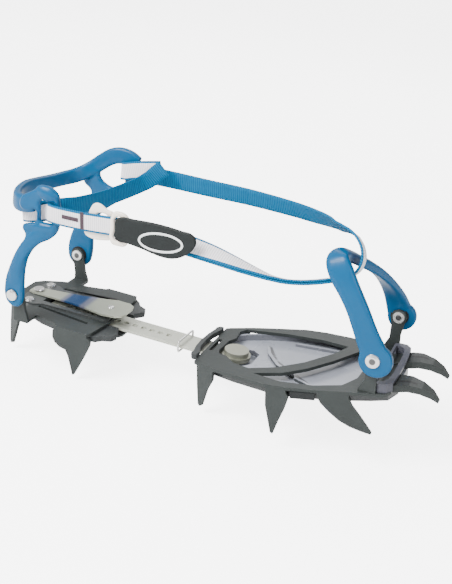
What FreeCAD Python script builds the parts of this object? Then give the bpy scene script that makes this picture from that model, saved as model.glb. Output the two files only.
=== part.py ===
import FreeCAD, Part
import math
import os

# Step-in crampon: a heel section and a front section of folded steel joined by an adjustable
# link bar, soft-plastic heel and toe harnesses on riveted ears, and one webbing strap.
# Frame: X toward the toe, Y toward the far side of the boot, Z up, millimetres.
# Origin: top face of the heel plate, straight below the heel rivets, on the centre line.

Vector = FreeCAD.Vector
Rotation = FreeCAD.Rotation
Placement = FreeCAD.Placement

os.makedirs("parts", exist_ok=True)
doc = FreeCAD.newDocument("crampon")

# ---------------------------------------------------------------------------------- sizes
SIZES = [
    ("steel_thick", 2.0),          # folded steel sheet of both frames
    ("ear_inner_heel", 37.0),      # half distance between the heel ears' inner faces
    ("ear_inner_toe", 30.0),       # half distance between the toe ears' inner faces
    ("heel_rivet_height", 17.0),   # heel rivet axis above the heel plate
    ("toe_rivet_along", 110.0),    # toe rivet axis in the front section's own frame
    ("toe_rivet_height", 21.8),
    ("rivet_shank_rad", 2.8),
    ("pivot_gap", 0.05),           # running clearance of the harness pivots
    ("washer_thick", 0.5),
    ("harness_thick", 4.4),        # heel harness wall
    ("toe_leg_thick", 4.5),
    ("seat_depth", 0.3),           # recess under pieces that lie on the sole faces
    ("front_offset", 118.0),       # rear edge of the front section
    ("front_drop", -0.5),
    ("front_rocker", 8.0),         # toe-up angle of the front section, degrees
    ("bar_width", 17.0),
    ("bar_thick", 2.0),
    ("bar_top", -3.0),
    ("hole_pitch", 6.0),           # length-adjustment step
    ("hole_rad", 1.75),
    ("hole_first", 16.5),
    ("stud_along", 46.5),
    ("stud_rad", 1.45),
    ("leaf_thick", 1.2),
    ("leaf_rest_lift", 2.5),       # leaf angle with the stud just above the bar, degrees
    ("leaf_axis_x", -10.5),
    ("leaf_axis_z", 1.7),
    ("strap_width", 12.0),
    ("strap_thick", 1.4),
    ("tab_thick", 2.2),
    ("ring_along", 100.0),         # keeper ring on the link bar
]

table = doc.addObject("Spreadsheet::Sheet", "Sizes")
for row, (alias, number) in enumerate(SIZES, start=1):
    table.set("A%d" % row, alias)
    table.set("B%d" % row, str(number))
    table.setAlias("B%d" % row, alias)
doc.recompute()
size = dict(SIZES)

exported = []


# -------------------------------------------------------------------------------- helpers
def keep(obj, label):
    """Name a finished sub-part and list it for export."""
    obj.Label = label
    exported.append((obj, label))
    return obj


def new_body(label):
    """An empty PartDesign body."""
    return doc.addObject("PartDesign::Body", label.title().replace("_", ""))


def plane_of(body, role):
    """One of the body's own origin planes."""
    return [feature for feature in body.Origin.OriginFeatures if feature.Role == role][0]


def sketch(body, name, role, outlines=(), circles=(), shift=(0, 0, 0), turn=0.0):
    """A sketch of closed polygons and circles on an origin plane, shifted and turned."""
    sk = body.newObject("Sketcher::SketchObject", name)
    sk.AttachmentSupport = (plane_of(body, role), [""])
    sk.MapMode = "FlatFace"
    sk.AttachmentOffset = Placement(Vector(*shift), Rotation(Vector(0, 1, 0), turn))
    for points in outlines:
        corners = [Vector(u, v, 0) for u, v in points]
        for start, end in zip(corners, corners[1:] + corners[:1]):
            sk.addGeometry(Part.LineSegment(start, end), False)
    for u, v, radius in circles:
        sk.addGeometry(Part.Circle(Vector(u, v, 0), Vector(0, 0, 1), radius), False)
    return sk


def pad(body, name, sk, length, reverse=False, middle=False):
    """A pad whose length is a number or the name of a size."""
    feature = body.newObject("PartDesign::Pad", name)
    feature.Profile = sk
    if isinstance(length, str):
        feature.setExpression("Length", "Sizes." + length)
    else:
        feature.Length = length
    feature.Reversed = reverse
    feature.Midplane = middle
    doc.recompute()
    return feature


def pocket(body, name, sk, length, reverse=False, middle=False):
    """A pocket that must remove material."""
    before = body.Shape.Volume
    feature = body.newObject("PartDesign::Pocket", name)
    feature.Profile = sk
    feature.Length = length
    feature.Reversed = reverse
    feature.Midplane = middle
    doc.recompute()
    if body.Shape.Volume > before - 0.5:
        raise ValueError(name + " removes nothing")
    return feature


def mirror(body, name, features):
    """Repeat features on the other side of the centre line."""
    feature = body.newObject("PartDesign::Mirrored", name)
    feature.Originals = features
    feature.MirrorPlane = (plane_of(body, "XZ_Plane"), [""])
    body.Tip = feature
    doc.recompute()
    return feature


def turned(label, profile, place):
    """A turned piece: a closed (radius, height) profile revolved about the local Z axis."""
    body = new_body(label)
    sk = sketch(body, label + "_profile", "XZ_Plane", [profile])
    doc.recompute()
    feature = body.newObject("PartDesign::Revolution", label + "_turn")
    feature.Profile = sk
    feature.ReferenceAxis = (sk, ["V_Axis"])
    feature.Angle = 360.0
    doc.recompute()
    body.Placement = place
    return keep(body, label)


def two_sided(half):
    """Close a half outline, listed from rear to front, by its mirror image."""
    return half + [(x, -y) for x, y in reversed(half)]


def loft_sections(sections):
    """A closed solid through polygon sections with the same number of corners."""
    wires = [Part.makePolygon(points + points[:1]) for points in sections]
    solid = Part.makeLoft(wires, True, True)
    if solid.Volume < 0:
        solid.reverse()
    return solid


def ribbon(stations, width, thick):
    """Webbing through stations (x, y, z, lean); lean 0 stands upright, 90 lies across Y."""
    points = [Vector(x, y, z) for x, y, z, lean in stations]
    sections = []
    last = len(points) - 1
    for i, (x, y, z, lean) in enumerate(stations):
        along = points[min(i + 1, last)] - points[max(i - 1, 0)]
        along.normalize()
        upright = Vector(0, 0, math.cos(math.radians(lean)))
        across = Vector(0, math.sin(math.radians(lean)), 0)
        wide = upright + across
        wide = wide - along * wide.dot(along)
        wide.normalize()
        face = along.cross(wide)
        w = wide * (width / 2)
        t = face * (thick / 2)
        sections.append([points[i] + w + t, points[i] - w + t, points[i] - w - t, points[i] + w - t])
    return loft_sections(sections)


FRONT = Placement(Vector(size["front_offset"], 0, size["front_drop"]),
                  Rotation(Vector(0, 1, 0), -size["front_rocker"]))
HEEL_RIVET = Vector(0, 0, size["heel_rivet_height"])
TOE_RIVET = FRONT.multVec(Vector(size["toe_rivet_along"], 0, size["toe_rivet_height"]))
NEAR = Rotation(Vector(1, 0, 0), 90)     # turns a piece's own Z axis outward on the near side
FAR = Rotation(Vector(1, 0, 0), -90)


# --------------------------------------------------------------------------- heel section
def heel_frame():
    """Heel plate with folded ears, rear points set across the corners and broad side points."""
    body = new_body("heel_frame")
    half = [(-19.0, 15.0), (-15.0, 20.0), (-4.5, 26.2), (0.0, 28.0), (14.0, 29.5), (25.5, 33.0),
            (27.0, 35.0), (48.0, 35.0), (49.5, 31.0), (51.0, 16.0)]
    outline = sketch(body, "heel_outline", "XY_Plane", [two_sided(half)])
    plate = pad(body, "heel_plate", outline, "steel_thick", reverse=True)
    windows = sketch(body, "heel_windows", "XY_Plane",
                     [[(-3.0, -10.2), (48.6, -10.2), (48.6, 10.2), (-3.0, 10.2)],
                      [(3.0, 15.0), (41.0, 19.5), (41.0, 22.0), (3.0, 17.5)],
                      [(3.0, -15.0), (3.0, -17.5), (41.0, -22.0), (41.0, -19.5)]],
                     [(-5.5, 13.4, 1.4), (-5.5, -13.4, 1.4)])
    pocket(body, "heel_openings", windows, 5.0, middle=True)
    seat = sketch(body, "guide_seat_outline", "XY_Plane",
                  [two_sided([(-13.5, 6.2), (-10.9, 17.0), (-0.9, 17.5), (3.6, 14.1), (52.0, 12.6)])],
                  shift=(0, 0, -size["seat_depth"]))
    pocket(body, "guide_seat", seat, 2.0, reverse=True)
    base = sketch(body, "ear_tab_outline", "XY_Plane",
                  [[(-1.0, -26.0), (8.8, -26.0), (8.8, -39.0), (-1.0, -39.0)]])
    tab = pad(body, "ear_tab", base, "steel_thick", reverse=True)
    post = sketch(body, "ear_outline", "XZ_Plane",
                  [[(-1.0, -2.0), (8.8, -2.0), (8.6, 1.0), (6.6, 6.0), (5.0, 14.0), (4.7, 18.2), (2.5, 21.0),
                    (0.0, 21.8), (-2.5, 21.0), (-4.5, 18.5), (-4.7, 15.0), (-2.0, 10.0), (-1.0, 4.0)]],
                  [(0.0, size["heel_rivet_height"], size["rivet_shank_rad"])],
                  shift=(0, 0, size["ear_inner_heel"]))
    ear = pad(body, "ear", post, "steel_thick")
    broad = sketch(body, "broad_point_outline", "XZ_Plane",
                   [[(26.9, 0.0), (24.3, -3.5), (24.4, -8.0), (26.1, -11.3), (29.8, -13.7), (34.0, -14.6),
                     (36.2, -18.5), (38.3, -25.0), (40.0, -30.4), (41.0, -30.2), (44.3, -22.8), (47.2, -16.1),
                     (50.4, -7.6), (50.8, -4.2), (48.2, -2.4), (48.0, 0.0)]],
                   shift=(0, 0, 35.0))
    side = pad(body, "broad_point", broad, "steel_thick", reverse=True)
    across = math.degrees(math.atan2(-6.2, 10.5))
    rear = sketch(body, "rear_point_outline", "XZ_Plane",
                  [[(0.0, 0.0), (-0.2, -14.0), (0.2, -28.0), (1.2, -29.6), (2.8, -29.0), (6.6, -18.5),
                    (9.8, -9.5), (11.9, -4.5), (12.0, 0.0)]],
                  shift=(-15.0, 0, 20.0), turn=across)
    corner = pad(body, "rear_point", rear, "steel_thick", reverse=True)
    mirror(body, "heel_far_side", [tab, ear, side, corner])
    return keep(body, "heel_frame")


def heel_guide():
    """Channel that the link bar slides in, with a flange resting on the heel plate."""
    body = new_body("heel_bar_guide")
    block = sketch(body, "guide_block_outline", "XY_Plane",
                   [[(-2.5, -10.0), (47.0, -10.0), (47.0, 10.0), (-2.5, 10.0)]], shift=(0, 0, -7.0))
    pad(body, "guide_block", block, 7.6)
    flange = sketch(body, "guide_flange_outline", "XY_Plane",
                    [two_sided([(-13.0, 6.0), (-10.5, 16.5), (-1.0, 17.0), (4.0, 13.6), (48.0, 12.2),
                                (50.0, 10.0)])], shift=(0, 0, -size["seat_depth"]))
    pad(body, "guide_flange", flange, 1.1)
    track = sketch(body, "guide_track", "YZ_Plane",
                   [[(-8.7, -5.25), (8.7, -5.25), (8.7, -2.75), (-8.7, -2.75)]], shift=(0, 0, -20.0))
    pocket(body, "guide_cavity", track, 90.0, reverse=True)
    slot = sketch(body, "guide_slot_outline", "XY_Plane",
                  [[(2.0, -9.4), (41.0, -9.4), (41.0, -7.0), (52.0, -7.0), (52.0, 3.6), (2.0, 3.6)]],
                  shift=(0, 0, -3.5))
    pocket(body, "guide_slot", slot, 8.0, reverse=True)
    holes = sketch(body, "guide_screw_holes", "XY_Plane", [], [(-5.5, 13.4, 1.4), (-5.5, -13.4, 1.4)],
                   shift=(0, 0, -1.0))
    pocket(body, "guide_screw_seats", holes, 4.0, reverse=True)
    return keep(body, "heel_bar_guide")


def heel_antiball():
    """Black plastic anti-balling plate under the heel, open down the middle for the bar."""
    body = new_body("heel_antiball_plate")
    half = [(4.0, 24.0), (12.0, 27.5), (24.0, 30.0), (46.0, 31.5), (52.0, 31.0), (55.0, 27.0), (60.0, 24.5),
            (61.5, 20.0), (59.0, 16.0), (57.0, 13.0), (60.0, 8.0)]
    outline = sketch(body, "antiball_outline", "XY_Plane", [two_sided(half)], shift=(0, 0, -9.0))
    pad(body, "antiball_block", outline, 6.9)
    channel = sketch(body, "antiball_channel_outline", "YZ_Plane",
                     [[(-11.0, -7.6), (11.0, -7.6), (11.0, 0.0), (-11.0, 0.0)]], shift=(0, 0, -5.0))
    pocket(body, "antiball_channel", channel, 80.0, reverse=True)
    hollow = sketch(body, "antiball_hollow_outline", "XY_Plane",
                    [[(14.0, 13.5), (46.0, 14.5), (46.0, 28.0), (24.0, 27.0), (14.0, 24.5)],
                     [(14.0, -13.5), (14.0, -24.5), (24.0, -27.0), (46.0, -28.0), (46.0, -14.5)]],
                    shift=(0, 0, -10.0))
    pocket(body, "antiball_hollow", hollow, 6.6, reverse=True)
    step = sketch(body, "antiball_step_outline", "XY_Plane",
                  [[(-5.0, 13.0), (70.0, 13.0), (70.0, 40.0), (-5.0, 40.0)],
                   [(-5.0, -13.0), (-5.0, -40.0), (70.0, -40.0), (70.0, -13.0)]], shift=(0, 0, -10.0))
    pocket(body, "antiball_step", step, 4.2, reverse=True)
    return keep(body, "heel_antiball_plate")


def heel_fasteners():
    """Guide screws, leaf rivet, ear washers and harness rivets of the heel."""
    dome = [(0.0, -1.9), (1.35, -1.9), (1.35, 0.82), (3.2, 0.82), (3.0, 1.9), (2.0, 2.6), (0.0, 2.8)]
    turned("guide_screw_near", dome, Placement(Vector(-5.5, -13.4, 0), Rotation()))
    turned("guide_screw_far", dome, Placement(Vector(-5.5, 13.4, 0), Rotation()))
    stem = [(0.0, 0.85), (1.9, 0.85), (1.9, 3.4), (3.5, 3.4), (3.2, 4.1), (0.0, 4.4)]
    turned("leaf_pivot_rivet", stem, Placement(Vector(-6.5, 0, 0), Rotation()))
    pivot_pieces("heel", HEEL_RIVET, size["ear_inner_heel"], size["harness_thick"], 3.7)


def pivot_pieces(name, centre, inner, wall, head):
    """Washer between ear and harness, and the rivet through ear, washer and harness."""
    ear_out = inner + size["steel_thick"]
    leg_in = ear_out + size["washer_thick"]
    leg_out = leg_in + wall
    shank = size["rivet_shank_rad"]
    rivet = [(0.0, inner - 0.9), (3.5, inner - 0.9), (3.7, inner - 0.05), (shank - 0.03, inner - 0.05),
             (shank - 0.03, leg_out + 0.15), (head, leg_out + 0.15), (head - 0.3, leg_out + 0.85),
             (head - 1.6, leg_out + 1.2), (0.0, leg_out + 1.2)]
    washer = [(shank + 0.02, ear_out + 0.02), (5.6, ear_out + 0.02), (5.6, leg_in - 0.08),
              (shank + 0.02, leg_in - 0.08)]
    turned(name + "_rivet_near", rivet, Placement(centre, NEAR))
    turned(name + "_rivet_far", rivet, Placement(centre, FAR))
    turned(name + "_washer_near", washer, Placement(centre, NEAR))
    turned(name + "_washer_far", washer, Placement(centre, FAR))


# ------------------------------------------------------------------------ length adjuster
def link_bar():
    """Perforated spring-steel bar with a round head held in the front section's window."""
    body = new_body("link_bar")
    wide = size["bar_width"] / 2
    outline = sketch(body, "bar_outline", "XY_Plane",
                     [two_sided([(4.0, 5.5), (6.5, wide), (124.0, wide), (128.0, 6.0), (139.0, 4.0)])],
                     shift=(0, 0, size["bar_top"]))
    pad(body, "bar_plate", outline, "bar_thick", reverse=True)
    head = sketch(body, "bar_head_outline", "XY_Plane", [], [(134.5, 0.0, 9.0)], shift=(0, 0, -5.0))
    pad(body, "bar_head", head, 2.8)
    button = sketch(body, "bar_button_outline", "XY_Plane", [], [(134.5, 0.0, 7.6)], shift=(0, 0, -2.2))
    pad(body, "bar_button", button, 2.9)
    rad = size["hole_rad"]
    first = size["hole_first"]
    teeth = sketch(body, "bar_hole_outline", "XY_Plane",
                   [[(first - 1.5, -rad), (first + 0.4, -rad), (first + 1.7, -0.8), (first + 1.7, 0.8),
                     (first + 0.4, rad), (first - 1.5, rad)]], shift=(0, 0, -7.0))
    cut = pocket(body, "bar_hole", teeth, 5.0, reverse=True)
    row = body.newObject("PartDesign::LinearPattern", "bar_holes")
    row.Originals = [cut]
    row.Direction = ([f for f in body.Origin.OriginFeatures if f.Role == "X_Axis"][0], [""])
    row.Length = size["hole_pitch"] * 12
    row.Occurrences = 13
    body.Tip = row
    doc.recompute()
    return keep(body, "link_bar")


def bar_ring():
    """Wire keeper that wraps the link bar and slides on it."""
    body = new_body("bar_keeper_ring")
    loop = sketch(body, "ring_outline", "YZ_Plane",
                  [[(-9.6, -8.2), (9.6, -8.2), (11.4, -6.6), (11.4, -1.4), (9.6, 0.2), (-9.6, 0.2),
                    (-11.4, -1.4), (-11.4, -6.6)],
                   [(-9.5, -6.5), (-9.5, -1.5), (9.5, -1.5), (9.5, -6.5)]],
                  shift=(0, 0, size["ring_along"]))
    pad(body, "ring_loop", loop, 1.4, middle=True)
    return keep(body, "bar_keeper_ring")


def leaf():
    """Spring leaf whose front end lifts to free the stud, and the stud itself."""
    rest = Placement(Vector(size["leaf_axis_x"], 0, size["leaf_axis_z"]),
                     Rotation(Vector(0, 1, 0), -size["leaf_rest_lift"]))
    body = new_body("adjuster_leaf")
    half = [(-1.5, 3.2), (2.0, 4.4), (10.0, 4.8), (32.0, 6.8), (46.0, 9.6), (56.0, 12.4), (65.0, 11.6),
            (69.0, 8.6), (70.0, 5.0)]
    outline = sketch(body, "leaf_outline", "XY_Plane", [two_sided(half)], [(4.0, 0.0, 2.7)])
    pad(body, "leaf_plate", outline, "leaf_thick", middle=True)
    along = size["stud_along"] - size["leaf_axis_x"]
    seat = sketch(body, "leaf_stud_seat", "XY_Plane", [], [(along, 0.0, size["stud_rad"] + 0.02)],
                  shift=(0, 0, -2.0))
    pocket(body, "leaf_stud_hole", seat, 4.0, reverse=True)
    body.Placement = rest
    keep(body, "adjuster_leaf")
    rad = size["stud_rad"]
    profile = [(0.0, -6.55), (rad - 0.35, -6.55), (rad, -6.1), (rad, 0.65), (2.3, 0.65), (1.9, 1.3),
               (0.0, 1.5)]
    pin = turned("locking_stud", profile, Placement(rest.multVec(Vector(along, 0, 0)), rest.Rotation))
    return pin


# -------------------------------------------------------------------------- front section
def front_frame():
    """Front plate with a diagonal brace, toe ears, side points and drooping front points."""
    body = new_body("front_frame")
    half = [(-1.0, 26.5), (1.2, 28.0), (14.6, 33.2), (25.0, 36.2), (48.5, 42.0), (62.0, 42.0), (79.0, 39.5),
            (97.0, 35.5), (106.0, 33.0), (116.0, 31.0), (119.0, 26.0)]
    outline = sketch(body, "front_outline", "XY_Plane", [two_sided(half)])
    pad(body, "front_plate", outline, "steel_thick", reverse=True)
    upper = [(7.4, -6.5), (9.0, -11.0), (15.0, -13.5), (22.0, -21.0), (33.0, -25.0), (48.0, -18.5), (62.0, -6.0),
             (75.0, 12.0), (81.0, 25.0), (64.0, 29.5), (40.0, 31.0), (12.5, 29.0), (9.5, 24.0), (11.0, 14.0),
             (8.0, 8.0)]
    lower = [(38.0, -30.5), (54.0, -24.5), (66.0, -14.0), (78.0, 2.0), (90.0, 22.0), (95.5, 20.0), (98.0, 2.0),
             (97.0, -16.0), (91.0, -28.0), (76.0, -34.0), (56.0, -35.5)]
    slit = [(1.2, -8.6), (3.4, -8.6), (3.4, 8.6), (1.2, 8.6)]
    windows = sketch(body, "front_windows", "XY_Plane", [upper, lower, slit])
    pocket(body, "front_openings", windows, 5.0, middle=True)
    seat = sketch(body, "rail_seat_outline", "XY_Plane",
                  [[(107.8, 24.6), (122.0, 24.6), (122.0, 34.0), (107.8, 34.0)],
                   [(107.8, -24.6), (107.8, -34.0), (122.0, -34.0), (122.0, -24.6)]],
                  shift=(0, 0, -size["seat_depth"]))
    pocket(body, "rail_seat", seat, 2.0, reverse=True)
    ear_post = sketch(body, "toe_ear_outline", "XZ_Plane",
                      [[(101.0, -2.0), (111.0, -2.0), (111.6, 10.0), (113.4, 17.0), (115.0, 21.8), (113.6, 25.3),
                        (110.0, 26.8), (106.4, 25.3), (105.0, 21.8), (105.6, 17.0), (104.8, 8.0), (101.0, 1.5)]],
                      [(size["toe_rivet_along"], size["toe_rivet_height"], size["rivet_shank_rad"])],
                      shift=(0, 0, size["ear_inner_toe"]))
    ear = pad(body, "toe_ear", ear_post, "steel_thick")
    third = sketch(body, "third_point_outline", "XZ_Plane",
                   [[(49.7, 0.0), (49.5, -13.2), (51.2, -22.6), (52.6, -30.4), (54.1, -31.2), (57.2, -22.9),
                     (60.8, -14.5), (63.6, -5.8), (61.8, -3.4), (61.8, 0.0)]], shift=(0, 0, 42.0))
    mid = pad(body, "third_point", third, "steel_thick", reverse=True)
    second = sketch(body, "second_point_outline", "XZ_Plane",
                    [[(0.0, 0.0), (0.8, -4.4), (2.6, -7.9), (7.6, -13.3), (13.3, -18.3), (19.3, -21.8),
                      (25.4, -24.2), (31.2, -26.0), (32.0, -25.0), (28.9, -20.2), (25.1, -14.6), (20.9, -8.8),
                      (18.5, -3.6), (18.4, 0.0)]],
                    shift=(79.0, 0, 39.5), turn=math.degrees(math.atan2(4.0, 18.0)))
    raked = pad(body, "second_point", second, "steel_thick", reverse=True)
    rear = sketch(body, "rear_point_outline", "XZ_Plane",
                  [[(0.0, 0.0), (-0.2, -14.0), (0.0, -27.6), (1.2, -29.0), (2.9, -28.2), (7.6, -16.2),
                    (12.2, -8.6), (12.8, -4.0), (14.0, 0.0)]],
                  shift=(1.2, 0, 28.0), turn=math.degrees(math.atan2(-5.2, 13.4)))
    corner = pad(body, "rear_point", rear, "steel_thick", reverse=True)
    prong = sketch(body, "front_point_profile", "XZ_Plane",
                   [[(112.0, -2.0), (119.0, -1.6), (127.0, -0.4), (134.0, -1.8), (140.0, -4.4), (144.0, -7.2),
                     (144.6, -5.8), (141.0, -1.0), (135.0, 2.2), (128.0, 3.6), (121.0, 3.0), (112.0, 0.4)]],
                   shift=(0, 0, 9.0))
    front = pad(body, "front_point", prong, 15.0)
    mirror(body, "front_far_side", [ear, mid, raked, corner, front])
    taper = sketch(body, "front_point_taper", "XY_Plane",
                   [[(119.5, -24.5), (126.0, -23.8), (137.0, -20.6), (145.0, -17.8), (150.0, -17.8), (150.0, -30.0),
                     (119.5, -30.0)],
                    [(119.5, -8.5), (126.0, -9.4), (137.0, -12.6), (145.0, -15.4), (150.0, -15.4), (150.0, 15.4),
                     (145.0, 15.4), (137.0, 12.6), (126.0, 9.4), (119.5, 8.5)],
                    [(119.5, 24.5), (119.5, 30.0), (150.0, 30.0), (150.0, 17.8), (145.0, 17.8), (137.0, 20.6),
                     (126.0, 23.8)]])
    pocket(body, "front_point_sides", taper, 40.0, middle=True)
    body.Placement = FRONT
    return keep(body, "front_frame")


def front_antiball():
    """Translucent anti-balling tray below the front plate, with a ribbed floor."""
    body = new_body("front_antiball_plate")
    half = [(2.0, 19.0), (12.0, 27.0), (26.0, 32.0), (49.0, 38.0), (62.0, 38.5), (79.0, 36.0), (96.0, 32.0),
            (108.0, 28.0), (117.0, 24.0), (120.5, 14.0)]
    outline = sketch(body, "tray_outline", "XY_Plane", [two_sided(half)], shift=(0, 0, -7.2))
    pad(body, "tray_block", outline, 5.1)
    boss = sketch(body, "tray_well_outline", "XY_Plane",
                  [two_sided([(2.0, 13.5), (24.0, 13.5), (30.0, 8.0)])], shift=(0, 0, -11.0))
    pad(body, "tray_well_block", boss, 4.5)
    inner = [(-5.0, 10.5), (5.0, 18.0), (14.0, 25.5), (27.0, 30.4), (49.0, 36.4), (62.0, 36.9), (79.0, 34.4),
             (95.0, 30.6), (107.0, 26.5), (115.5, 22.8), (118.8, 13.5)]
    hollow = sketch(body, "tray_hollow_outline", "XY_Plane", [two_sided(inner)], shift=(0, 0, -6.0))
    pocket(body, "tray_hollow", hollow, 12.0, reverse=True)
    well = sketch(body, "tray_well_hollow_outline", "XY_Plane",
                  [two_sided([(-5.0, 12.2), (23.4, 12.2), (28.6, 7.4)])], shift=(0, 0, -9.6))
    pocket(body, "tray_well", well, 12.0, reverse=True)
    ribs = sketch(body, "tray_rib_outline", "XY_Plane",
                  [[(30.0, 18.0), (34.0, 8.0), (44.0, -6.0), (58.0, -18.0), (59.0, -16.6), (45.5, -4.6),
                    (36.0, 8.6), (32.0, 18.6)],
                   [(60.0, -20.5), (70.0, -26.0), (82.0, -31.0), (83.0, -29.6), (71.0, -24.6), (61.0, -19.2)],
                   [(46.0, 27.0), (76.0, 24.5), (76.0, 26.5), (46.0, 29.0)]], shift=(0, 0, -6.1))
    pad(body, "tray_ribs", ribs, 1.9)
    body.Placement = FRONT
    return keep(body, "front_antiball_plate")


def rear_band():
    """Raised rear band of the anti-balling plate, with a rounded lug at each end."""
    body = new_body("antiball_rear_band")
    half = [(-7.2, 0.0), (-6.6, 10.0), (-5.2, 17.5), (-5.4, 21.0), (-3.6, 23.2), (-1.1, 22.6), (-1.1, 18.0),
            (-3.6, 10.0), (-4.2, 0.0)]
    outline = sketch(body, "band_outline", "XY_Plane", [half + [(x, -y) for x, y in reversed(half[1:-1])]],
                     shift=(0, 0, -0.9))
    pad(body, "band_strip", outline, 3.2)
    body.Placement = FRONT
    return keep(body, "antiball_rear_band")


def toe_rail():
    """Rounded plastic lip over the front edge of the front plate."""
    body = new_body("antiball_toe_rail")
    half = [(109.0, 28.6), (112.0, 30.2), (116.5, 29.2), (119.5, 25.2), (120.6, 12.0)]
    inner = [(110.5, 26.4), (114.0, 25.2), (116.2, 21.6), (117.0, 12.0)]
    outline = sketch(body, "rail_outline", "XY_Plane", [two_sided(half), two_sided(inner)],
                     shift=(0, 0, -0.28))
    pad(body, "rail_lip", outline, 5.4)
    relief = sketch(body, "rail_relief_outline", "XY_Plane",
                    [[(108.0, -25.0), (122.0, -25.0), (122.0, 25.0), (108.0, 25.0)]], shift=(0, 0, -1.0))
    pocket(body, "rail_relief", relief, 4.6, reverse=True)
    body.Placement = FRONT
    return keep(body, "antiball_toe_rail")


def antiball_clips():
    """Side clips that hold the anti-balling tray to the frame's edges."""
    for label, side in (("antiball_clip_near", -1), ("antiball_clip_far", 1)):
        body = new_body(label)
        base = sketch(body, label + "_outline", "XY_Plane",
                      [[(64.0, 38.8 * side), (77.9, 36.9 * side), (78.5, 40.1 * side), (64.4, 42.3 * side)]],
                      shift=(0, 0, -6.2))
        pad(body, label + "_pad", base, 4.1)
        body.Placement = FRONT
        keep(body, label)


# ------------------------------------------------------------------------------ harnesses
def heel_harness():
    """Heel harness: two side panels with strap windows, joined by an arch behind the heel."""
    body = new_body("heel_harness")
    leg_in = size["ear_inner_heel"] + size["steel_thick"] + size["washer_thick"]
    panel = [(-5.4, 15.0), (-3.5, 10.6), (0.0, 8.6), (4.6, 9.2), (7.8, 12.8), (8.6, 26.0), (7.9, 38.9),
             (12.2, 48.5), (18.0, 57.0), (26.0, 62.5), (29.6, 68.5), (30.8, 80.0), (29.4, 88.0), (25.6, 92.8),
             (19.8, 94.0), (13.6, 90.6), (3.6, 83.5), (3.0, 73.0), (13.2, 76.5), (13.6, 69.0), (9.2, 66.8),
             (8.2, 60.5), (2.2, 47.9), (-3.4, 33.3), (-5.6, 22.7)]
    window = [(16.4, 69.0), (25.8, 69.0), (25.8, 85.6), (16.4, 83.6)]
    side = sketch(body, "panel_outline", "XZ_Plane", [panel, window],
                  [(0.0, size["heel_rivet_height"], size["rivet_shank_rad"] + size["pivot_gap"] - 0.03)],
                  shift=(0, 0, leg_in))
    near = pad(body, "side_panel", side, "harness_thick")
    mirror(body, "far_panel", [near])
    out = leg_in + size["harness_thick"]
    half = [(-13.2, 0.0), (-12.4, 16.0), (-9.6, 30.0), (-4.6, 38.6), (3.0, 43.0), (9.0, out), (9.0, leg_in),
            (4.2, 38.8), (-0.6, 34.8), (-5.0, 27.6), (-7.6, 15.0), (-8.4, 0.0)]
    arch = sketch(body, "arch_outline", "XY_Plane", [half + [(x, -y) for x, y in reversed(half[1:-1])]],
                  shift=(0, 0, 72.0))
    pad(body, "rear_arch", arch, 9.4)
    return keep(body, "heel_harness")


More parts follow.
